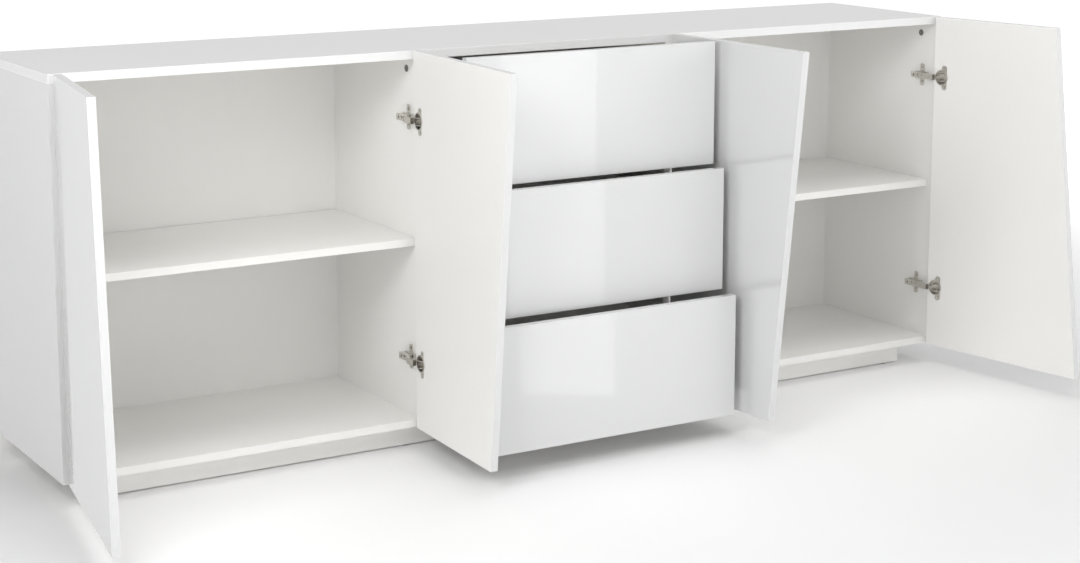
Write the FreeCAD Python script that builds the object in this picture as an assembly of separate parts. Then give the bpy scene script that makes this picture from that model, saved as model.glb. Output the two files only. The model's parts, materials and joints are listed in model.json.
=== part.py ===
"""Sideboard with three staggered drawers between two pairs of slanted doors.

The frame is in millimetres with +Z up. The origin is on the floor under the middle of the cabinet.
+X runs along the cabinet, the doors and drawers face -Y, and the rest pose has every door and drawer open.
"""

import FreeCAD
import Part
import math
import os

V = FreeCAD.Vector
UP = V(0, 0, 1)
ALONG_X = V(1, 0, 0)
ALONG_Y = V(0, 1, 0)

# Cabinet
WIDTH = 2200.0
DEPTH = 418.0
PLINTH_H = 52.0
CARCASS_H = 802.0
BOARD = 16.0
TOP_T = 18.0
BACK_T = 3.0
BACK_INSET = 12.0
DIVIDER_X = 308.0
PLINTH_SETBACK = 43.0
PLINTH_INSET = 71.0
SHELF_Z = 440.0
SHELF_SETBACK = 15.0
EDGE_R = 1.0

# Derived planes
HALF_W = WIDTH / 2
FRONT = -DEPTH / 2
REAR = DEPTH / 2
BOTTOM = PLINTH_H
TOP = PLINTH_H + CARCASS_H
FLOOR_IN = BOTTOM + BOARD
CEILING_IN = TOP - TOP_T
SIDE_IN = HALF_W - BOARD
BACK_FACE = REAR - BACK_INSET - BACK_T
BAY_HALF = DIVIDER_X - BOARD / 2

# Doors: each pair closes over one side bay and meets along a slanted line
DOOR_GAP = 3.0
DOOR_T = 16.0
OUTER_REVEAL = 2.0
INNER_REVEAL = 1.5
PAIR_GAP = 3.0
SLANT = 90.0
OUTER_OPEN = 99.0
INNER_OPEN = 87.0

# Concealed hinges, in the closed door's own frame: x from the hinge edge, y from the cabinet's front
PIVOT_X = 8.8
PIVOT_Y = -16.0
HINGE_FROM_END = 144.0
CUP_X = 22.5
CUP_R = 17.5
CUP_WALL = 1.0
CUP_DEPTH = 12.5
FLANGE_R = 19.0
FLANGE_T = 1.0
WING_HALF = 29.0
WING_W = 15.0
WING_SHIFT = 8.5
WING_CORNER_R = 6.0
CHEEK_Z = 7.3
CHEEK_T = 1.2
ARM_HALF = 6.5
ARM_T = 11.0
ARM_NOSE_X = 25.0
ARM_NOSE_W = 8.0
ARM_NOSE_Y = -13.5
ARM_REAR_Y = 64.0
ARM_CRANK_OUTER = (34.0, 12.0)
ARM_CRANK_INNER = (24.0, 8.0)
ARM_SLOT_Y = 54.0
ARM_SLOT_R = 2.2
ARM_SCREW_R = 3.2
ARM_SCREW_T = 1.5
PLATE_Y = 42.0
PLATE_T = 2.5
PLATE_HALF_Z = 26.0
PLATE_W = 12.0
PLATE_CORNER_R = 2.0
SADDLE_T = 8.0
SADDLE_RIM = 1.5
SADDLE_SPAN = (20.0, 60.0)
SCREW_SPREAD = 17.0
SCREW_R = 2.0
SCREW_HEAD_R = 3.6
SCREW_HEAD_T = 1.8
SCREW_LEN = 11.0

# Drawers, each on a pair of roller runners
FRONT_T = 16.0
FRONT_HALF_W = 304.0
FRONT_GAP = 4.0
DRAWER_OPEN = (164.0, 203.0, 253.0)
BOX_HALF_W = 287.0
BOX_SIDE_T = 12.0
BOX_LEN = 370.0
BOX_H = 165.0
BOX_LIFT = 34.0
BASE_T = 3.0
BASE_LIFT = 12.0
GROOVE = 5.0

# Runners, measured from the drawer box's lower edge and side face
RUN_LEN = 350.0
RUN_START = 4.0
STEEL = 1.2
RAIL_H = 24.2
FLANGE_Z = 20.8
ROLLER_R = 9.5
ROLLER_W = 6.0
ROLLER_Z = 11.0
AXLE_R = 2.5
AXLE_HEAD_R = 4.0
RUN_FIT = 0.05
FRONT_ROLLER_Y = 12.0
REAR_ROLLER_Y = 340.0

# Small fittings
PIN_R = 2.5
CAM_R = 7.5
CAM_T = 1.0
CAM_Y = 52.0
CAM_DROP = 25.0
GLIDE_R = 14.0
GLIDE_T = 3.0


def box(x0, y0, z0, x1, y1, z1):
    """A block between two opposite corners."""
    low = V(min(x0, x1), min(y0, y1), min(z0, z1))
    return Part.makeBox(abs(x1 - x0), abs(y1 - y0), abs(z1 - z0), low)


def rod(radius, length, start, direction):
    """A round bar from start along direction."""
    return Part.makeCylinder(radius, length, start, direction)


def mirrored(shape):
    """The shape reflected left to right."""
    return shape.mirror(V(0, 0, 0), ALONG_X)


def both_sides(shape):
    """The shape and its reflection, as separate solids."""
    return [shape, mirrored(shape)]


def cut(shape, tools):
    """The shape with every tool taken away."""
    for tool in tools:
        shape = shape.cut(tool)
    return shape


def fuse(first, others):
    """One solid from several touching or overlapping ones."""
    for other in others:
        first = first.fuse(other)
    return first.removeSplitter()


def softened(shape, normal, radius=EDGE_R):
    """The shape with the edges round its outermost face along normal rounded."""
    best = max(shape.Faces, key=lambda face: face.CenterOfMass.dot(normal))
    return shape.makeFillet(radius, best.Edges)


def save(name, shapes):
    """Writes one node's STEP file from one solid or a list of separate ones."""
    solids = shapes if isinstance(shapes, list) else [shapes]
    shape = solids[0] if len(solids) == 1 else Part.makeCompound(solids)
    shape.exportStep(os.path.join("parts", name + ".step"))


# Doors and their hinges


class Door:
    """One door: where its hinge edge is, which way it reaches, and how far it stands open."""

    def __init__(self, name, edge_x, reach, wall_x, widths, opened):
        self.name = name
        self.edge_x = edge_x
        self.reach = reach
        self.wall = abs(wall_x - edge_x)
        self.bottom_w, self.top_w = widths
        self.opened = opened

    def place(self, shape):
        """A shape from the closed door's frame to the cabinet's frame."""
        if self.reach < 0:
            shape = mirrored(shape)
        shape.translate(V(self.edge_x, FRONT, 0))
        return shape

    def swing(self, shape):
        """A shape of the closed door turned to the rest pose, then placed."""
        shape.rotate(V(PIVOT_X, PIVOT_Y, 0), UP, -self.opened)
        return self.place(shape)


def doors():
    """The four doors from left to right."""
    outer_x = HALF_W - OUTER_REVEAL
    inner_x = DIVIDER_X + INNER_REVEAL
    shared = outer_x - inner_x - PAIR_GAP
    wide = (shared + SLANT) / 2
    narrow = (shared - SLANT) / 2
    bay_wall = DIVIDER_X + BOARD / 2
    outer = (wide, narrow)
    inner = (narrow, wide)
    return [
        Door("door_1", -outer_x, 1, -SIDE_IN, outer, OUTER_OPEN),
        Door("door_2", -inner_x, -1, -bay_wall, inner, INNER_OPEN),
        Door("door_3", inner_x, 1, bay_wall, inner, INNER_OPEN),
        Door("door_4", outer_x, -1, SIDE_IN, outer, OUTER_OPEN),
    ]


def hinge_heights():
    """The two heights at which every door is hinged."""
    return [BOTTOM + HINGE_FROM_END, TOP - HINGE_FROM_END]


def screw_places(door):
    """Where the mounting plate's screws enter the wall, in the door's frame."""
    places = []
    for z in hinge_heights():
        for side in (-1, 1):
            places.append(V(door.wall, PLATE_Y, z + side * SCREW_SPREAD))
    return places


def screw_hole(door, place):
    """The pilot hole of one screw, placed in the cabinet."""
    return door.place(rod(SCREW_R, SCREW_LEN, place, V(-1, 0, 0)))


def screw_holes(all_doors, left, right):
    """The pilot holes whose place lies between two X positions."""
    holes = []
    for door in all_doors:
        for place in screw_places(door):
            hole = screw_hole(door, place)
            if left < hole.CenterOfMass.x < right:
                holes.append(hole)
    return holes


def mounting_plate(door, z):
    """A cruciform plate with a raised saddle that the arm sits on."""
    wall = door.wall
    low, high = PLATE_Y - PLATE_W / 2, PLATE_Y + PLATE_W / 2
    bar = box(wall, low, z - PLATE_HALF_Z, wall + PLATE_T, high, z + PLATE_HALF_Z)
    near, far = SADDLE_SPAN
    half = ARM_HALF + SADDLE_RIM
    saddle = box(wall, near, z - half, wall + SADDLE_T, far, z + half)
    plate = fuse(bar.makeFillet(PLATE_CORNER_R, vertical_to(bar, ALONG_X)), [saddle])
    holes = []
    for side in (-1, 1):
        at = V(wall - 1, PLATE_Y, z + side * SCREW_SPREAD)
        holes.append(rod(SCREW_R + 0.2, PLATE_T + 2, at, ALONG_X))
    return door.place(cut(plate, holes))


def vertical_to(shape, direction):
    """The straight edges of a shape that run along direction."""
    found = []
    for edge in shape.Edges:
        run = edge.Vertexes[-1].Point - edge.Vertexes[0].Point
        if run.Length > 0 and abs(run.normalize().dot(direction)) > 0.99:
            found.append(edge)
    return found


def prism(points, z, half):
    """A flat outline in X and Y, thickened to both sides of z."""
    corners = [V(x, y, z - half) for x, y in points]
    face = Part.Face(Part.makePolygon(corners + corners[:1]))
    return face.extrude(V(0, 0, 2 * half))


def hinge_arm(door, z):
    """The cranked arm: it lies on the saddle and its nose reaches forward into the cup."""
    low = door.wall + SADDLE_T
    high = low + ARM_T
    nose_low = ARM_NOSE_X
    nose_high = ARM_NOSE_X + ARM_NOSE_W
    outline = [
        (low, ARM_REAR_Y),
        (high, ARM_REAR_Y),
        (high, ARM_CRANK_OUTER[0]),
        (nose_high, ARM_CRANK_OUTER[1]),
        (nose_high, ARM_NOSE_Y),
        (nose_low, ARM_NOSE_Y),
        (nose_low, ARM_CRANK_INNER[1]),
        (low, ARM_CRANK_INNER[0]),
    ]
    arm = prism(outline, z, ARM_HALF)
    slot = rod(ARM_SLOT_R, ARM_T, V(high - ARM_T / 2, ARM_SLOT_Y, z), ALONG_X)
    screw = rod(ARM_SCREW_R, ARM_SCREW_T + 1, V(high - 1, PLATE_Y, z), ALONG_X)
    return door.place(fuse(arm.cut(slot), [screw]))


def hinge_screw(door, place):
    """A pan-head screw with a cross recess, through the plate into the wall."""
    head = place + V(PLATE_T, 0, 0)
    shank = rod(SCREW_R, SCREW_LEN + PLATE_T, head, V(-1, 0, 0))
    cap = rod(SCREW_HEAD_R, SCREW_HEAD_T, head, ALONG_X)
    screw = fuse(shank, [cap])
    x0, x1 = head.x + 0.8, head.x + SCREW_HEAD_T + 1
    slots = [
        box(x0, head.y - 0.5, head.z - 2, x1, head.y + 0.5, head.z + 2),
        box(x0, head.y - 2, head.z - 0.5, x1, head.y + 2, head.z + 0.5),
    ]
    return door.place(cut(screw, slots))


def door_panel(door):
    """The slanted panel with its rounded outer edges and two cup bores."""
    inner_y = -DOOR_GAP
    outer_y = inner_y - DOOR_T
    corners = [
        V(0, outer_y, BOTTOM),
        V(door.bottom_w, outer_y, BOTTOM),
        V(door.top_w, outer_y, TOP),
        V(0, outer_y, TOP),
    ]
    face = Part.Face(Part.makePolygon(corners + corners[:1]))
    panel = softened(face.extrude(V(0, DOOR_T, 0)), V(0, -1, 0))
    bores = [cup_space(z, CUP_R, CUP_DEPTH) for z in hinge_heights()]
    return door.swing(cut(panel, bores))


def cup_space(z, radius, depth):
    """A round recess into the door's inner face at a hinge."""
    return rod(radius, depth + FLANGE_T, V(CUP_X, -DOOR_GAP - depth, z), ALONG_Y)


def hinge_cup(door, z):
    """The pressed cup with its winged flange and the two cheeks that stand out of it."""
    face_y = -DOOR_GAP
    flange = rod(FLANGE_R, FLANGE_T, V(CUP_X, face_y, z), ALONG_Y)
    x0 = CUP_X + WING_SHIFT - WING_W / 2
    x1 = x0 + WING_W
    wings = box(x0, face_y, z - WING_HALF, x1, face_y + FLANGE_T, z + WING_HALF)
    wings = wings.makeFillet(WING_CORNER_R, vertical_to(wings, ALONG_Y))
    shell = rod(CUP_R, CUP_DEPTH, V(CUP_X, face_y - CUP_DEPTH, z), ALONG_Y)
    hollow = cup_space(z, CUP_R - CUP_WALL, CUP_DEPTH - CUP_WALL)
    cup = fuse(shell, [flange, wings]).cut(hollow)
    floor_y = face_y - CUP_DEPTH + CUP_WALL - 0.2
    outline = [(11, floor_y), (32, floor_y), (32, -3), (25, 3), (16.5, 3), (15.5, -2), (11, -2)]
    middle = CHEEK_Z + CHEEK_T / 2
    cheeks = [prism(outline, z + side * middle, CHEEK_T / 2) for side in (-1, 1)]
    return door.swing(fuse(cup, cheeks))


def save_doors(all_doors):
    """Every door's panel and pair of cups, and the hinge pieces on the cabinet."""
    plates, arms, screws = [], [], []
    for door in all_doors:
        save(door.name + "_panel", door_panel(door))
        save(door.name + "_hinge_cups", [hinge_cup(door, z) for z in hinge_heights()])
        plates += [mounting_plate(door, z) for z in hinge_heights()]
        arms += [hinge_arm(door, z) for z in hinge_heights()]
        screws += [hinge_screw(door, place) for place in screw_places(door)]
    save("hinge_mounting_plates", plates)
    save("hinge_arms", arms)
    save("hinge_plate_screws", screws)


# Drawers


def front_heights():
    """The lower and upper edge of every drawer front, from the top drawer down."""
    height = (CARCASS_H - 2 * FRONT_GAP) / 3
    tops = [TOP - index * (height + FRONT_GAP) for index in range(3)]
    return [(top - height, top) for top in tops]


def drawer_front(low, high, opened):
    """The plain front with rounded outer edges."""
    near = FRONT - DOOR_GAP - opened
    panel = box(-FRONT_HALF_W, near - FRONT_T, low, FRONT_HALF_W, near, high)
    return softened(panel, V(0, -1, 0))


def base_groove(near, far, base_z):
    """The space of the drawer's thin base, which is let into its sides and front end."""
    half = BOX_HALF_W - BOX_SIDE_T + GROOVE
    return box(-half, near, base_z, half, far, base_z + BASE_T)


def save_drawer(number, low, high, opened):
    """One drawer: front, two sides, back, base, runner members and rear rollers."""
    name = "drawer_%d_" % number
    near = FRONT - DOOR_GAP - opened
    far = near + BOX_LEN
    foot = low + BOX_LIFT
    rim = foot + BOX_H
    base_z = foot + BASE_LIFT
    inner = BOX_HALF_W - BOX_SIDE_T
    base = base_groove(near, far, base_z)
    side = box(inner, near, foot, BOX_HALF_W, far, rim).cut(base)
    back = box(-inner, far - BOX_SIDE_T, base_z + BASE_T, inner, far, rim)
    save(name + "front", drawer_front(low, high, opened))
    save(name + "right_side", side)
    save(name + "left_side", mirrored(side))
    save(name + "back", back)
    save(name + "base", base)
    runner = drawer_runner(foot, near)
    save(name + "runners", both_sides(runner))
    rear = roller(V(BOX_HALF_W + STEEL + 1.8, runner_y(near) + REAR_ROLLER_Y, foot + ROLLER_Z))
    save(name + "rear_rollers", both_sides(rear))


# Runners


def runner_y(near):
    """Where the runner's length is measured from, behind the drawer front."""
    return near + DOOR_GAP


def roller(start):
    """A plastic wheel from start towards the cabinet wall, with its axle hole."""
    wheel = rod(ROLLER_R, ROLLER_W, start, ALONG_X)
    wheel = wheel.makeFillet(0.8, round_edges(wheel, ROLLER_R))
    return wheel.cut(rod(AXLE_R + RUN_FIT, ROLLER_W + 2, start - ALONG_X, ALONG_X))


def round_edges(shape, radius):
    """The circular edges of a given radius."""
    return [e for e in shape.Edges if isinstance(e.Curve, Part.Circle) and e.Curve.Radius == radius]


def axle(start, direction):
    """A riveted axle from a steel face, with a head that keeps the wheel on."""
    length = ROLLER_W + 2.2
    shank = rod(AXLE_R, length, start, direction)
    head = rod(AXLE_HEAD_R, 0.8, start + direction * length, direction)
    return fuse(shank, [head])


def drawer_runner(foot, near):
    """The drawer's runner member: it wraps the box's lower edge and carries the rear axle."""
    y0 = runner_y(near) + RUN_START
    y1 = y0 + RUN_LEN
    under = box(BOX_HALF_W - BOX_SIDE_T, y0, foot - STEEL, BOX_HALF_W, y1, foot)
    web = box(BOX_HALF_W, y0, foot - STEEL, BOX_HALF_W + STEEL, y1, foot + FLANGE_Z + STEEL)
    outer = BAY_HALF - STEEL - 1.0
    track = box(BOX_HALF_W, y0, foot + FLANGE_Z, outer, y1, foot + FLANGE_Z + STEEL)
    hub = V(BOX_HALF_W + STEEL, runner_y(near) + REAR_ROLLER_Y, foot + ROLLER_Z)
    return fuse(under, [web, track, axle(hub, ALONG_X)])


def cabinet_runner(foot):
    """The cabinet's runner member: a channel on the divider that carries the front axle."""
    y0 = FRONT + RUN_START
    y1 = y0 + RUN_LEN
    wall = BAY_HALF
    low = foot
    web = box(wall - STEEL, y0, low, wall, y1, low + RAIL_H)
    floor = box(wall - 10, y0 + 26, low, wall, y1, low + STEEL)
    lip = box(wall - 9, y0 + 26, low + RAIL_H - STEEL, wall, y1, low + RAIL_H)
    hub = V(wall - STEEL, FRONT + FRONT_ROLLER_Y, low + ROLLER_Z)
    return fuse(web, [floor, lip, axle(hub, V(-1, 0, 0))])


def save_drawers():
    """The three drawers and the cabinet's side of their runners."""
    rails = []
    for number, (low, high) in enumerate(front_heights(), 1):
        save_drawer(number, low, high, DRAWER_OPEN[number - 1])
        foot = low + BOX_LIFT
        rails += both_sides(cabinet_runner(foot))
        hub_x = BAY_HALF - STEEL - 1.8 - ROLLER_W
        front = roller(V(hub_x, FRONT + FRONT_ROLLER_Y, foot + ROLLER_Z))
        save("runner_%d_front_rollers" % number, both_sides(front))
    save("cabinet_runners", rails)


# Cabinet


def top_panel():
    """The top lies over both sides, with rounded upper edges."""
    return softened(box(-HALF_W, FRONT, CEILING_IN, HALF_W, REAR, TOP), UP)


def side_panel(all_doors):
    """The right side, grooved for the back and bored for hinge screws and shelf pins."""
    panel = box(SIDE_IN, FRONT, BOTTOM, HALF_W, REAR, CEILING_IN)
    tools = screw_holes(all_doors, SIDE_IN, HALF_W)
    tools += [back_space(SIDE_IN - 20, SIDE_IN + GROOVE)]
    tools += pin_holes(SIDE_IN, 1)
    return cut(panel, tools)


def divider(all_doors):
    """The right divider, which carries runners on one face and hinges on the other."""
    panel = box(BAY_HALF, FRONT, FLOOR_IN, BAY_HALF + BOARD, BACK_FACE, CEILING_IN)
    tools = screw_holes(all_doors, BAY_HALF, BAY_HALF + BOARD)
    tools += pin_holes(BAY_HALF + BOARD, -1)
    return cut(panel, tools)


def back_space(x0, x1):
    """The thin back between two X positions."""
    return box(x0, BACK_FACE, BOTTOM, x1, BACK_FACE + BACK_T, CEILING_IN)


def shelf_length():
    """The right bay's clear ends, with a small gap for the loose shelf."""
    return BAY_HALF + BOARD + 0.5, SIDE_IN - 0.5


def shelf():
    """The loose shelf of the right bay."""
    x0, x1 = shelf_length()
    board = box(x0, FRONT + SHELF_SETBACK, SHELF_Z, x1, BACK_FACE - 2, SHELF_Z + BOARD)
    return softened(board, V(0, -1, 0), 0.6)


def pin_spots():
    """The depths of the two shelf pins at each end of a shelf."""
    return [FRONT + 60, BACK_FACE - 60]


def pin_holes(wall_x, direction):
    """The bores for shelf pins in one wall."""
    z = SHELF_Z - PIN_R
    start = [V(wall_x, y, z) for y in pin_spots()]
    return [rod(PIN_R, 8, at, V(direction, 0, 0)) for at in start]


def shelf_pins():
    """The pins under both shelves: a shank in the wall and a stub with a flat top."""
    pins = []
    for wall_x, inward in ((SIDE_IN, -1), (BAY_HALF + BOARD, 1)):
        for y in pin_spots():
            start = V(wall_x - inward * 8, y, SHELF_Z - PIN_R)
            pins.append(rod(PIN_R, 16, start, V(inward, 0, 0)))
    return pins + [mirrored(pin) for pin in pins]


def cam_locks():
    """The faces of the cam locks that draw the sides and dividers to the top."""
    z = CEILING_IN - CAM_DROP
    spots = [FRONT + CAM_Y, BACK_FACE - CAM_Y]
    locks = []
    for wall_x, inward in ((SIDE_IN, -1), (BAY_HALF + BOARD, 1)):
        for y in spots:
            face = rod(CAM_R, CAM_T, V(wall_x, y, z), V(inward, 0, 0))
            end = wall_x + inward * (CAM_T - 0.5)
            slot = [
                box(end, y - 0.8, z - 4, end + inward, y + 0.8, z + 4),
                box(end, y - 4, z - 0.8, end + inward, y + 4, z + 0.8),
            ]
            locks.append(cut(face, slot))
    return locks + [mirrored(lock) for lock in locks]


def plinth():
    """The recessed base: two long rails, two ends and a brace under the middle."""
    x1 = HALF_W - PLINTH_INSET
    y0 = FRONT + PLINTH_SETBACK
    y1 = REAR - PLINTH_SETBACK
    front = box(-x1, y0, GLIDE_T, x1, y0 + BOARD, BOTTOM)
    back = box(-x1, y1 - BOARD, GLIDE_T, x1, y1, BOTTOM)
    end = box(x1 - BOARD, y0 + BOARD, GLIDE_T, x1, y1 - BOARD, BOTTOM)
    brace = box(-BOARD / 2, y0 + BOARD, GLIDE_T, BOARD / 2, y1 - BOARD, BOTTOM)
    return front, back, end, brace


def glides():
    """Flat floor glides under the plinth rails and one under the middle of the brace."""
    y0 = FRONT + PLINTH_SETBACK + BOARD / 2
    x1 = HALF_W - PLINTH_INSET - 40
    discs = [rod(GLIDE_R, GLIDE_T, V(0, 0, 0), UP)]
    for x in (-x1, -x1 / 3, x1 / 3, x1):
        for y in (y0, -y0):
            discs.append(rod(GLIDE_R / 2, GLIDE_T, V(x, y, 0), UP))
    return discs


def save_cabinet(all_doors):
    """Every board and fitting that stands still."""
    right = side_panel(all_doors)
    wall = divider(all_doors)
    save("top_panel", top_panel())
    save("bottom_panel", box(-SIDE_IN, FRONT, BOTTOM, SIDE_IN, BACK_FACE, FLOOR_IN))
    save("right_side_panel", right)
    save("left_side_panel", mirrored(right))
    save("right_divider", wall)
    save("left_divider", mirrored(wall))
    middle = DIVIDER_X
    save("centre_back_panel", back_space(-middle, middle))
    side_back = back_space(middle, SIDE_IN + GROOVE)
    save("right_back_panel", side_back)
    save("left_back_panel", mirrored(side_back))
    board = shelf()
    save("right_shelf", board)
    save("left_shelf", mirrored(board))
    front, back, end, brace = plinth()
    save("plinth_front_rail", front)
    save("plinth_back_rail", back)
    save("plinth_right_end", end)
    save("plinth_left_end", mirrored(end))
    save("plinth_middle_brace", brace)
    save("floor_glides", glides())
    save("shelf_pins", shelf_pins())
    save("cam_locks", cam_locks())


def main():
    """Writes one STEP file for every node."""
    os.makedirs("parts", exist_ok=True)
    all_doors = doors()
    save_cabinet(all_doors)
    save_doors(all_doors)
    save_drawers()


main()
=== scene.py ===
import json
import math

import bmesh
import bpy
from mathutils import Matrix, Vector

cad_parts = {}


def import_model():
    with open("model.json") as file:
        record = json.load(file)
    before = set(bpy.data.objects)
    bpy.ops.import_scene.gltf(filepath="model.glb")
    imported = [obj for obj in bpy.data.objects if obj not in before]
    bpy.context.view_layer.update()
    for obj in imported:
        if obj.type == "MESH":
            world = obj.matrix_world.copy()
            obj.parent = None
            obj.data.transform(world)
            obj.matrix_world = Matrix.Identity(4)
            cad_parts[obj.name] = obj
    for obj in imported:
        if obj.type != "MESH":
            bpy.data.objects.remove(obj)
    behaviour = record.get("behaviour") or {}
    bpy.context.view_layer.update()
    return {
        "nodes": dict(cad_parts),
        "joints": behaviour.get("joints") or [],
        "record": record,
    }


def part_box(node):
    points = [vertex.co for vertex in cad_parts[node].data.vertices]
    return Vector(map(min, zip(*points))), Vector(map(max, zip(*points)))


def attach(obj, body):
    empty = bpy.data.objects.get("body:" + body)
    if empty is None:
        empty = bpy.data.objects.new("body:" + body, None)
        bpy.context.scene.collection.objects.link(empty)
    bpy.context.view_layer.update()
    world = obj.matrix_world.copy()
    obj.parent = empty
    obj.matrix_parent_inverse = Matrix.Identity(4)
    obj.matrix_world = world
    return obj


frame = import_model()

MM = 0.001
record = frame["record"]
nodes = frame["nodes"]
joints = {joint["name"]: joint for joint in frame["joints"]}
DOORS = ["door_%d" % number for number in range(1, 5)]
DRAWERS = ["drawer_%d" % number for number in range(1, 4)]

# Camera: place in metres, directions in degrees, lens and sensor in millimetres
CAMERA_AT = (-2.346, -4.080, 1.345)
CAMERA_HEADING = 30.97
CAMERA_DOWN = 9.74
CAMERA_LENS = 70.92
CAMERA_SENSOR = 36
CAMERA_SHIFT = -0.10
CAMERA_FAR = 200

# Floor, in metres: its side, the two radii between which its glow rises, and the glow at each
FLOOR_SIZE = 60.0
FLOOR_RINGS = 1.2, 4.6
FLOOR_GLOW = 0.0, 0.88
FLOOR_WHITE = (0.93, 0.93, 0.93), (0.95, 0.95, 0.95)

# Room: its brightness, its colours, and the height of a unit direction where the ceiling starts
ROOM_STRENGTH = 0.81
ROOM_HORIZON = 1, 1, 1, 1
ROOM_CEILING = 0.06, 0.06, 0.06, 1
CEILING_FROM = 0.7

# Each softbox: where it stands, what it faces, its width and height, and its power in watts
SOFTBOXES = {
    "key": ((-2.2, -1.7, 1.9), (-0.2, -0.4, 0.4), (1.2, 1.0), 28),
    "front_fill": ((-1.2, -5.2, 1.5), (0, 0, 0.45), (3.2, 2.4), 17),
    "right_fill": ((3.4, -3.4, 1.9), (0, 0, 0.4), (2.4, 2.2), 35),
    "overhead": ((0.3, -0.6, 4.2), (0, 0, 0), (4.5, 2.5), 85),
    "high_front": ((0, -3.6, 3.6), (0, 0, 0.4), (5.0, 1.6), 33),
    "back_fill": ((0.8, 4.4, 2.8), (0, 0, 0.4), (5.0, 2.4), 60),
    "tall_strip": ((2.8, -5.2, 0.4), (0, -0.4, 0.4), (0.45, 3.6), 5),
}
REFLECTED = "tall_strip"

# The hinge's own frame: x from the closed door's hinge edge, y from the cabinet's front plane
PIVOT = Vector((8.8, -16.0, 0.0)) * MM
CUP_X = 22.5 * MM
DOOR_FACE_Y = -3.0 * MM
FLANGE_T = 1.0 * MM
WING_HALF = 29.0 * MM
CUP_SCREW_X = CUP_X + 8.5 * MM
CUP_SCREW_Z = 23.0 * MM
ARM_LIFT = 19.0 * MM

# Each screw on a hinge arm: its y, and how far its head stands off the arm
ARM_SCREWS = (42.0 * MM, 1.5 * MM), (27.0 * MM, 0)

# Screw heads as (radius, height), and a head's shape in shares of those two
CUP_SCREW_HEAD = 3.3 * MM, 1.1 * MM
ARM_SCREW_HEAD = 3.2 * MM, 1.0 * MM
HEAD_DOME = (0, 1), (0.45, 0.97), (0.8, 0.74), (0.97, 0.4), (1, 0.18), (1, 0)
RECESS_REACH = 0.55
RECESS_DEPTH = 0.55
RECESS_ARM = 0.32

# Turned profiles as (radius, height) in millimetres, from the middle of the face to the base
CAP_PROFILE = (0, 1.1), (4.6, 1.1), (5.8, 0.8), (6.3, 0.25), (6.3, 0), (0, 0)
NAIL_PROFILE = (0, 0.7), (1.6, 0.62), (2.4, 0.3), (2.5, 0), (0, 0)
NAIL_STEPS = 16
SHARP_ANGLE = 35

# Nails round a back, and caps inside a drawer's side
NAIL_SPACING = 120 * MM
NAIL_EDGE = 8 * MM
CAP_FROM_FRONT = 34 * MM
CAP_FROM_BASE = 45 * MM
CAP_FROM_RIM = 32 * MM

# Colours, each as a darker and a lighter shade
FRONT_LACQUER = (0.712, 0.715, 0.715), (0.725, 0.728, 0.728)
# The side panels' lacquer is the fronts' lacquer painted darker: painted shade on the side panels
SIDE_LACQUER_PAINTED_DARKER = (0.690, 0.692, 0.692), (0.703, 0.706, 0.706)
# The top's lacquer is the fronts' lacquer painted lighter: painted light on the top
TOP_LACQUER_PAINTED_LIGHTER = (0.800, 0.802, 0.802), (0.812, 0.815, 0.815)
MELAMINE = (0.896, 0.890, 0.868), (0.905, 0.899, 0.878)
PRINTED_BOARD = (0.885, 0.879, 0.858), (0.893, 0.887, 0.866)
BARE_BOARD = (0.58, 0.54, 0.47), (0.68, 0.64, 0.57)
DRAWER_WHITE = (0.80, 0.80, 0.785), (0.83, 0.83, 0.815)
NICKEL = (0.66, 0.64, 0.60), (0.76, 0.74, 0.70)
POWDER_WHITE = (0.74, 0.74, 0.73), (0.80, 0.80, 0.79)
NYLON_WHITE = (0.72, 0.72, 0.70), (0.80, 0.80, 0.78)
GLIDE_GREY = (0.26, 0.26, 0.255), (0.32, 0.32, 0.31)
ZINC = (0.20, 0.20, 0.19), (0.30, 0.295, 0.28)

# The melamine's roughness, from its smoother to its rougher patches, and its noise scales
SATIN = 0.38, 0.47
CLOUD_SCALE = 5.0
SATIN_SCALE = 60.0
PEBBLE_SCALE = 1400.0

# The part of a noise's output over which a material changes
NOISE_RANGE = 0.3, 0.7

# How near a point must be to a board's face to count as on it
FACE_TOLERANCE = 0.3 * MM


# Materials


def new_material(name, **sockets):
    """A principled material with constant values set on the shader's own sockets."""
    material = bpy.data.materials.new(name)
    material.use_nodes = True
    shader = material.node_tree.nodes["Principled BSDF"]
    for socket, value in sockets.items():
        shader.inputs[socket.replace("_", " ")].default_value = value
    return material, shader


def noise(material, scale, detail=3.0, roughness=0.5, stretch=None):
    """A noise texture in the object's own space, stretched along an axis if asked."""
    tree = material.node_tree
    coords = tree.nodes.new("ShaderNodeTexCoord")
    texture = tree.nodes.new("ShaderNodeTexNoise")
    texture.inputs["Scale"].default_value = scale
    texture.inputs["Detail"].default_value = detail
    texture.inputs["Roughness"].default_value = roughness
    source = coords.outputs["Object"]
    if stretch:
        mapping = tree.nodes.new("ShaderNodeMapping")
        mapping.inputs["Scale"].default_value = stretch
        tree.links.new(source, mapping.inputs["Vector"])
        source = mapping.outputs["Vector"]
    tree.links.new(source, texture.inputs["Vector"])
    return texture.outputs["Fac"]


def shades(material, fac, dark, light):
    """A colour that runs between two near shades."""
    ramp = material.node_tree.nodes.new("ShaderNodeValToRGB")
    ramp.color_ramp.elements[0].position = NOISE_RANGE[0]
    ramp.color_ramp.elements[0].color = (*dark, 1)
    ramp.color_ramp.elements[1].position = NOISE_RANGE[1]
    ramp.color_ramp.elements[1].color = (*light, 1)
    material.node_tree.links.new(fac, ramp.inputs["Fac"])
    return ramp.outputs["Color"]


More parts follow.
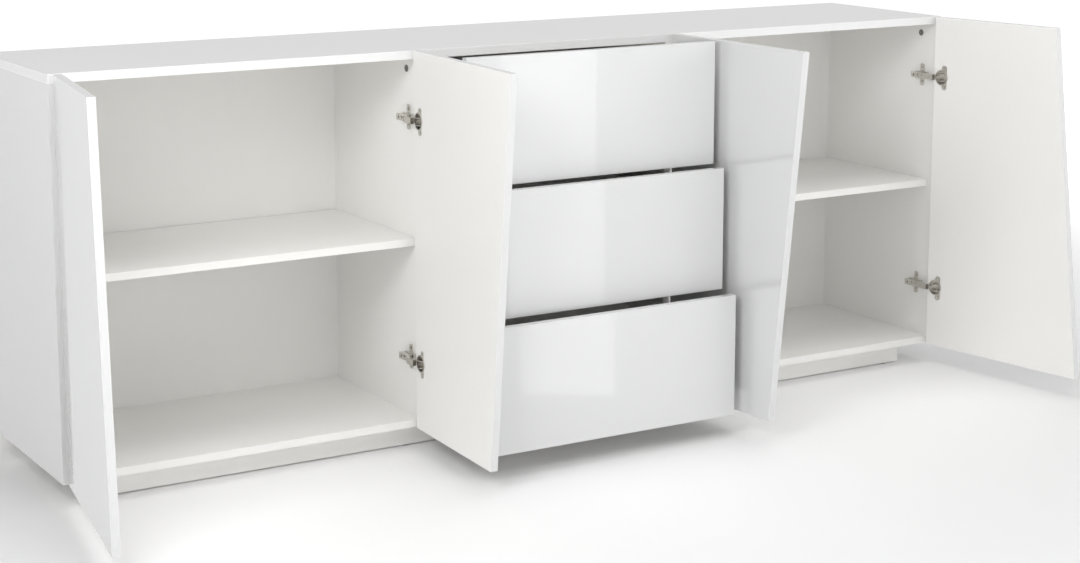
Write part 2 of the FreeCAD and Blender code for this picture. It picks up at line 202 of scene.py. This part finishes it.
def spread(material, fac, low, high, start=NOISE_RANGE[0], end=NOISE_RANGE[1]):
    """A number that runs from low to high as the factor runs from start to end."""
    node = material.node_tree.nodes.new("ShaderNodeMapRange")
    node.interpolation_type = "SMOOTHSTEP"
    node.inputs["From Min"].default_value = start
    node.inputs["From Max"].default_value = end
    node.inputs["To Min"].default_value = low
    node.inputs["To Max"].default_value = high
    material.node_tree.links.new(fac, node.inputs["Value"])
    return node.outputs["Result"]


def tint(material, shader, fac, dark, light):
    """Drives the base colour between two near shades."""
    colour = shades(material, fac, dark, light)
    material.node_tree.links.new(colour, shader.inputs["Base Color"])


def vary_roughness(material, shader, fac, low, high):
    """Drives the roughness between two values."""
    value = spread(material, fac, low, high)
    material.node_tree.links.new(value, shader.inputs["Roughness"])


def bump(material, shader, fac, strength, depth_mm, socket="Normal"):
    """Adds relief of a stated depth."""
    node = material.node_tree.nodes.new("ShaderNodeBump")
    node.inputs["Strength"].default_value = strength
    node.inputs["Distance"].default_value = depth_mm * MM
    material.node_tree.links.new(fac, node.inputs["Height"])
    material.node_tree.links.new(node.outputs["Normal"], shader.inputs[socket])


def face_mask(material, normal, plane):
    """One on the flat face with this outward normal and distance from the origin, else zero."""
    tree = material.node_tree
    coords = tree.nodes.new("ShaderNodeTexCoord")
    along = tree.nodes.new("ShaderNodeVectorMath")
    along.operation = "DOT_PRODUCT"
    along.inputs[1].default_value = normal
    reached = tree.nodes.new("ShaderNodeMath")
    reached.operation = "GREATER_THAN"
    reached.inputs[1].default_value = plane - FACE_TOLERANCE
    tree.links.new(coords.outputs["Object"], along.inputs[0])
    tree.links.new(along.outputs["Value"], reached.inputs[0])
    return reached.outputs["Value"]


def choose(material, mask, off, on, kind="FLOAT"):
    """The first source where the mask is zero and the second where it is one."""
    tree = material.node_tree
    node = tree.nodes.new("ShaderNodeMix")
    node.data_type = kind
    wanted = "VALUE" if kind == "FLOAT" else kind
    ends = [socket for socket in node.inputs if socket.type == wanted and socket.name in "AB"]
    tree.links.new(mask, node.inputs["Factor"])
    for source, socket in zip((off, on), ends):
        tree.links.new(source, socket)
    return next(socket for socket in node.outputs if socket.type == wanted)


def lacquered_board(name, shade, inside, plane):
    """Polished lacquer with a slight orange peel, and satin melamine on the inside face."""
    material, shader = new_material(name, Coat_Roughness=0.012, Coat_IOR=1.5)
    links = material.node_tree.links
    mask = face_mask(material, inside, plane)
    lacquer = shades(material, noise(material, scale=3.0, detail=2.0), *shade)
    melamine = shades(material, noise(material, CLOUD_SCALE), *MELAMINE)
    polish = spread(material, noise(material, scale=11.0), low=0.05, high=0.09)
    satin = spread(material, noise(material, SATIN_SCALE), *SATIN)
    peel = noise(material, scale=130.0, detail=1.0)
    pebble = noise(material, PEBBLE_SCALE, detail=2.0)
    coat = spread(material, mask, low=1.0, high=0.0, start=0.0, end=1.0)
    links.new(choose(material, mask, lacquer, melamine, "RGBA"), shader.inputs["Base Color"])
    links.new(choose(material, mask, polish, satin), shader.inputs["Roughness"])
    links.new(coat, shader.inputs["Coat Weight"])
    bump(material, shader, choose(material, mask, peel, pebble), strength=0.06, depth_mm=0.02)
    bump(material, shader, peel, strength=0.006, depth_mm=0.05, socket="Coat Normal")
    return material


def satin_melamine(name, dark, light):
    """Pressed melamine: a fine even pebble in a satin white."""
    material, shader = new_material(name, IOR=1.48)
    tint(material, shader, noise(material, CLOUD_SCALE), dark, light)
    vary_roughness(material, shader, noise(material, SATIN_SCALE), *SATIN)
    bump(material, shader, noise(material, PEBBLE_SCALE, detail=2.0), strength=0.16, depth_mm=0.05)
    return material


def bright_nickel():
    """Nickel plate on pressed steel, very faintly cloudy and drawn."""
    material, shader = new_material("bright_nickel", Metallic=1.0)
    tint(material, shader, noise(material, scale=35.0, detail=2.0), *NICKEL)
    vary_roughness(material, shader, noise(material, scale=90.0), low=0.20, high=0.28)
    drawn = noise(material, scale=260.0, detail=1.0, stretch=(1, 1, 6))
    bump(material, shader, drawn, strength=0.04, depth_mm=0.02)
    return material


def powder_coat():
    """White powder coat with its soft ripple."""
    material, shader = new_material("powder_coat", IOR=1.5)
    tint(material, shader, noise(material, scale=30.0), *POWDER_WHITE)
    vary_roughness(material, shader, noise(material, scale=120.0), low=0.28, high=0.40)
    bump(material, shader, noise(material, scale=420.0, detail=1.0), strength=0.12, depth_mm=0.1)
    return material


def nylon(name, dark, light):
    """Moulded plastic with a dull skin."""
    material, shader = new_material(name, Subsurface_Weight=0.12, Subsurface_Scale=0.002)
    tint(material, shader, noise(material, scale=80.0), dark, light)
    vary_roughness(material, shader, noise(material, scale=300.0), low=0.35, high=0.5)
    bump(material, shader, noise(material, scale=900.0), strength=0.08, depth_mm=0.05)
    return material


def dull_zinc():
    """The dark die casting of a cam lock."""
    material, shader = new_material("dull_zinc", Metallic=0.85)
    tint(material, shader, noise(material, scale=260.0), *ZINC)
    vary_roughness(material, shader, noise(material, scale=400.0), low=0.42, high=0.6)
    bump(material, shader, noise(material, scale=800.0), strength=0.2, depth_mm=0.1)
    return material


def hardboard():
    """Thin board: a printed white face to the front and pale bare fibre behind."""
    material, shader = new_material("printed_hardboard", IOR=1.45)
    links = material.node_tree.links
    rear = face_mask(material, (0, 1, 0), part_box("left_back_panel")[1].y)
    printed = shades(material, noise(material, scale=24.0, detail=5.0), *PRINTED_BOARD)
    fibre = noise(material, scale=320.0, detail=6.0, roughness=0.7, stretch=(1, 1, 0.6))
    bare = shades(material, fibre, *BARE_BOARD)
    matt = spread(material, noise(material, scale=200.0), low=0.5, high=0.62)
    links.new(choose(material, rear, printed, bare, "RGBA"), shader.inputs["Base Color"])
    links.new(matt, shader.inputs["Roughness"])
    bump(material, shader, fibre, strength=0.2, depth_mm=0.08)
    return material


def make_materials():
    """One material for every slot of the record that isn't lacquered."""
    return {
        "satin_carcass": satin_melamine("satin_carcass", *MELAMINE),
        "thin_board": hardboard(),
        "drawer_box": satin_melamine("drawer_box", *DRAWER_WHITE),
        "hinge_nickel": bright_nickel(),
        "runner_steel": powder_coat(),
        "roller_plastic": nylon("roller_nylon", *NYLON_WHITE),
        "cam_zinc": dull_zinc(),
        "glide_plastic": nylon("glide_plastic", *GLIDE_GREY),
    }


def dress(node, material):
    """Gives a CAD node one material."""
    for slot in nodes[node].material_slots:
        slot.material = material


def dress_cad(materials):
    """Gives every CAD node the material of its slot, and each lacquered board its inside face."""
    for part in record["subparts"]:
        if part["material_slot"] in materials:
            dress(part["node"], materials[part["material_slot"]])
    for name in DOORS:
        door = DoorFrame(name)
        inside = door.door_way((0, 1, 0))
        plane = door.on_door((0, DOOR_FACE_Y, 0)).dot(inside)
        dress(name + "_panel", lacquered_board("gloss_" + name, FRONT_LACQUER, inside, plane))
    for name in DRAWERS:
        node = name + "_front"
        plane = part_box(node)[1].y
        dress(node, lacquered_board("gloss_" + node, FRONT_LACQUER, (0, 1, 0), plane))
    # The side panels get the fronts' lacquer painted darker, as painted shade
    for side, way in (("left", 1), ("right", -1)):
        node = side + "_side_panel"
        plane = max(way * corner.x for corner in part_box(node))
        dress(node, lacquered_board("gloss_" + node, SIDE_LACQUER_PAINTED_DARKER, (way, 0, 0), plane))
    # The top gets the fronts' lacquer painted lighter, as painted light
    plane = -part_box("top_panel")[0].z
    dress("top_panel", lacquered_board("gloss_carcass", TOP_LACQUER_PAINTED_LIGHTER, (0, 0, -1), plane))


# Small pieces


def lathe(profile, steps=32):
    """A closed turned solid about +Z from (radius, height) points that start and end on the axis."""
    shape = bmesh.new()
    rings = []
    for radius, height in profile:
        if radius == 0:
            rings.append([shape.verts.new((0, 0, height))])
            continue
        turns = [2 * math.pi * k / steps for k in range(steps)]
        ring = [(radius * math.cos(t), radius * math.sin(t), height) for t in turns]
        rings.append([shape.verts.new(point) for point in ring])
    for low, high in zip(rings, rings[1:]):
        for k in range(steps):
            after = (k + 1) % steps
            corners = [low[k % len(low)], low[after % len(low)]]
            corners += [high[after % len(high)], high[k % len(high)]]
            shape.faces.new(list(dict.fromkeys(corners)))
    bmesh.ops.recalc_face_normals(shape, faces=shape.faces)
    return shape


def to_mesh(shape, name):
    """The finished mesh, with smooth shading up to a sharp edge."""
    mesh = bpy.data.meshes.new(name)
    shape.to_mesh(mesh)
    shape.free()
    mesh.shade_smooth()
    mesh.set_sharp_from_angle(angle=math.radians(SHARP_ANGLE))
    return mesh


def box_shape(shape, size, middle):
    """Adds a block to a shape."""
    matrix = Matrix.Translation(middle) @ Matrix.Diagonal((*size, 1))
    bmesh.ops.create_cube(shape, size=1, matrix=matrix)


def cross_cutter(reach, depth, top):
    """The cross of a screwdriver recess, sunk below the top of a head."""
    shape = bmesh.new()
    for size in ((2 * reach, RECESS_ARM * reach), (RECESS_ARM * reach, 2 * reach)):
        box_shape(shape, (*size, 2 * depth), (0, 0, top))
    mesh = bpy.data.meshes.new("cross")
    shape.to_mesh(mesh)
    shape.free()
    return bpy.data.objects.new("cross", mesh)


def screw_head_mesh(radius, height):
    """A domed screw head with a cross recess, standing on z = 0."""
    profile = [(across * radius, up * height) for across, up in HEAD_DOME] + [(0, 0)]
    head = bpy.data.objects.new("head", to_mesh(lathe(profile), "head"))
    cutter = cross_cutter(RECESS_REACH * radius, RECESS_DEPTH * height, height)
    scene = bpy.context.scene
    for item in (head, cutter):
        scene.collection.objects.link(item)
    recess = head.modifiers.new("recess", "BOOLEAN")
    recess.object = cutter
    recess.operation = "DIFFERENCE"
    recess.solver = "EXACT"
    graph = bpy.context.evaluated_depsgraph_get()
    mesh = bpy.data.meshes.new_from_object(head.evaluated_get(graph))
    for item in (head, cutter):
        bpy.data.objects.remove(item)
    return mesh


def facing(direction):
    """The rotation that turns +Z to a direction."""
    return Vector(direction).to_track_quat("Z", "Y").to_matrix().to_4x4()


def scatter(name, mesh, places, body, material):
    """One piece made of a small mesh repeated at (point, direction) places."""
    shape = bmesh.new()
    for point, direction in places:
        start = len(shape.verts)
        shape.from_mesh(mesh)
        shape.verts.ensure_lookup_table()
        matrix = Matrix.Translation(point) @ facing(direction)
        bmesh.ops.transform(shape, matrix=matrix, verts=shape.verts[start:])
    piece = bpy.data.objects.new(name, to_mesh(shape, name))
    piece.data.materials.append(material)
    bpy.context.scene.collection.objects.link(piece)
    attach(piece, body)


# Doors


class DoorFrame:
    """Turns places in a closed door's own frame into places at the rest pose."""

    def __init__(self, name):
        joint = joints[name + "_hinge"]
        self.name = name
        self.pivot = Vector(joint["pos_m"])
        self.pivot.z = 0
        self.closed = max(joint["range_deg"], key=abs)
        self.reach = 1 if self.closed > 0 else -1
        self.turn = Matrix.Rotation(-math.radians(self.closed), 3, "Z")

    def flip(self, vector):
        """The vector as seen in a door that reaches the other way."""
        return Vector((self.reach * vector.x, vector.y, vector.z))

    def on_door(self, point):
        """A point of the door at rest."""
        return self.pivot + self.turn @ self.flip(Vector(point) - PIVOT)

    def door_way(self, direction):
        """A direction fixed in the door at rest."""
        return self.turn @ self.flip(Vector(direction))

    def on_cabinet(self, point):
        """A point fixed on the cabinet."""
        return self.pivot + self.flip(Vector(point) - PIVOT)

    def heights(self):
        """The two heights of this door's hinges."""
        low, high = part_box(self.name + "_hinge_cups")
        return low.z + WING_HALF, high.z - WING_HALF


def cup_screws(door, head, materials):
    """The two screws that hold each cup's flange to the door."""
    places = []
    for z in door.heights():
        for side in (-1, 1):
            point = (CUP_SCREW_X, DOOR_FACE_Y + FLANGE_T, z + side * CUP_SCREW_Z)
            places.append((door.on_door(point), door.door_way((0, 1, 0))))
    name = door.name + "_cup_screws"
    scatter(name, head, places, door.name, materials["hinge_nickel"])


def arm_screws(doors, head, materials):
    """The fixing and adjusting screws on every hinge arm."""
    places = []
    for door in doors:
        wall = wall_offset(door)
        way = Vector((door.reach, 0, 0))
        for z in door.heights():
            for y, proud in ARM_SCREWS:
                point = (wall + ARM_LIFT + proud, y, z)
                places.append((door.on_cabinet(point), way))
    scatter("hinge_arm_screws", head, places, "cabinet", materials["hinge_nickel"])


def wall_offset(door):
    """How far the wall that carries a door's arms is from the door's hinge edge."""
    walls = []
    for name in ("left_side_panel", "left_divider", "right_divider", "right_side_panel"):
        low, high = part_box(name)
        walls.append(high.x if door.reach > 0 else low.x)
    offsets = [door.reach * (x - door.pivot.x) + PIVOT.x for x in walls]
    return min(offsets, key=lambda offset: abs(offset - PIVOT.x))


# The back and the drawers


def back_nails(mesh, materials):
    """Flat nail heads down both sides and along the foot of each thin back."""
    places = []
    for name in ("left_back_panel", "centre_back_panel", "right_back_panel"):
        low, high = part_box(name)
        for x in (low.x + NAIL_EDGE, high.x - NAIL_EDGE):
            count = int((high.z - low.z) / NAIL_SPACING)
            for k in range(1, count):
                z = low.z + (high.z - low.z) * k / count
                places.append((Vector((x, high.y, z)), (0, 1, 0)))
        count = int((high.x - low.x) / NAIL_SPACING)
        for k in range(1, count):
            x = low.x + (high.x - low.x) * k / count
            places.append((Vector((x, high.y, low.z + NAIL_EDGE)), (0, 1, 0)))
    scatter("back_nails", mesh, places, "cabinet", materials["cam_zinc"])


def lock_caps(name, mesh, materials):
    """The caps over the fixings that hold a drawer's front to its sides."""
    places = []
    for side, way in (("left", 1), ("right", -1)):
        low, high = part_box("%s_%s_side" % (name, side))
        x = high.x if way > 0 else low.x
        for z in (low.z + CAP_FROM_BASE, high.z - CAP_FROM_RIM):
            places.append((Vector((x, low.y + CAP_FROM_FRONT, z)), (way, 0, 0)))
    scatter(name + "_lock_caps", mesh, places, name, materials["roller_plastic"])


def small_pieces(materials):
    """Every small fitting that is seen close up."""
    doors = [DoorFrame(name) for name in DOORS]
    cup_head = screw_head_mesh(*CUP_SCREW_HEAD)
    arm_head = screw_head_mesh(*ARM_SCREW_HEAD)
    cap = to_mesh(lathe([(r * MM, z * MM) for r, z in CAP_PROFILE]), "cap")
    nail = to_mesh(lathe([(r * MM, z * MM) for r, z in NAIL_PROFILE], NAIL_STEPS), "nail")
    for door in doors:
        cup_screws(door, cup_head, materials)
    arm_screws(doors, arm_head, materials)
    back_nails(nail, materials)
    for name in DRAWERS:
        lock_caps(name, cap, materials)


# Stage


def floor():
    """A wide pale floor that brightens away from the cabinet. The gloss doesn't reflect it."""
    shape = bmesh.new()
    bmesh.ops.create_grid(shape, x_segments=1, y_segments=1, size=FLOOR_SIZE / 2)
    piece = bpy.data.objects.new("floor", to_mesh(shape, "floor"))
    material, shader = new_material("pale_floor", Roughness=0.9, Specular_IOR_Level=0.1)
    tree = material.node_tree
    tint(material, shader, noise(material, scale=0.8, detail=2.0), *FLOOR_WHITE)
    coords = tree.nodes.new("ShaderNodeTexCoord")
    distance = tree.nodes.new("ShaderNodeVectorMath")
    distance.operation = "LENGTH"
    tree.links.new(coords.outputs["Object"], distance.inputs[0])
    glow = spread(material, distance.outputs["Value"], *FLOOR_GLOW, *FLOOR_RINGS)
    shader.inputs["Emission Color"].default_value = (1, 1, 1, 1)
    tree.links.new(glow, shader.inputs["Emission Strength"])
    piece.data.materials.append(material)
    piece.visible_glossy = False
    bpy.context.scene.collection.objects.link(piece)


def area_light(name, at, towards, size, power):
    """A rectangular softbox, hidden from the camera. Only one of them shows in the gloss."""
    data = bpy.data.lights.new(name, "AREA")
    data.shape = "RECTANGLE"
    data.size, data.size_y = size
    data.energy = power
    lamp = bpy.data.objects.new(name, data)
    lamp.location = at
    way = Vector(towards) - Vector(at)
    lamp.rotation_euler = way.to_track_quat("-Z", "Y").to_euler()
    lamp.visible_camera = False
    lamp.visible_glossy = name == REFLECTED
    bpy.context.scene.collection.objects.link(lamp)


def world():
    """A bright even room with a dim ceiling."""
    room = bpy.data.worlds.new("room")
    room.use_nodes = True
    tree = room.node_tree
    background = tree.nodes["Background"]
    coords = tree.nodes.new("ShaderNodeTexCoord")
    split = tree.nodes.new("ShaderNodeSeparateXYZ")
    ramp = tree.nodes.new("ShaderNodeValToRGB")
    ramp.color_ramp.elements[0].position = 0.0
    ramp.color_ramp.elements[0].color = ROOM_HORIZON
    ramp.color_ramp.elements[1].position = CEILING_FROM
    ramp.color_ramp.elements[1].color = ROOM_CEILING
    tree.links.new(coords.outputs["Generated"], split.inputs["Vector"])
    tree.links.new(split.outputs["Z"], ramp.inputs["Fac"])
    tree.links.new(ramp.outputs["Color"], background.inputs["Color"])
    background.inputs["Strength"].default_value = ROOM_STRENGTH
    bpy.context.scene.world = room


def lights():
    """Every softbox of the rig."""
    for name, (at, towards, size, power) in SOFTBOXES.items():
        area_light(name, at, towards, size, power)


def camera():
    """The camera in front of the cabinet's left end, looking slightly down."""
    data = bpy.data.cameras.new("camera")
    data.lens = CAMERA_LENS
    data.sensor_width = CAMERA_SENSOR
    data.shift_y = CAMERA_SHIFT
    data.clip_end = CAMERA_FAR
    eye = bpy.data.objects.new("camera", data)
    eye.location = CAMERA_AT
    eye.rotation_euler = (math.radians(90 - CAMERA_DOWN), 0, -math.radians(CAMERA_HEADING))
    bpy.context.scene.collection.objects.link(eye)
    bpy.context.scene.camera = eye


def main():
    """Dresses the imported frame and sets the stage."""
    materials = make_materials()
    dress_cad(materials)
    small_pieces(materials)
    floor()
    world()
    lights()
    camera()
    bpy.context.scene.view_settings.view_transform = "Standard"


main()
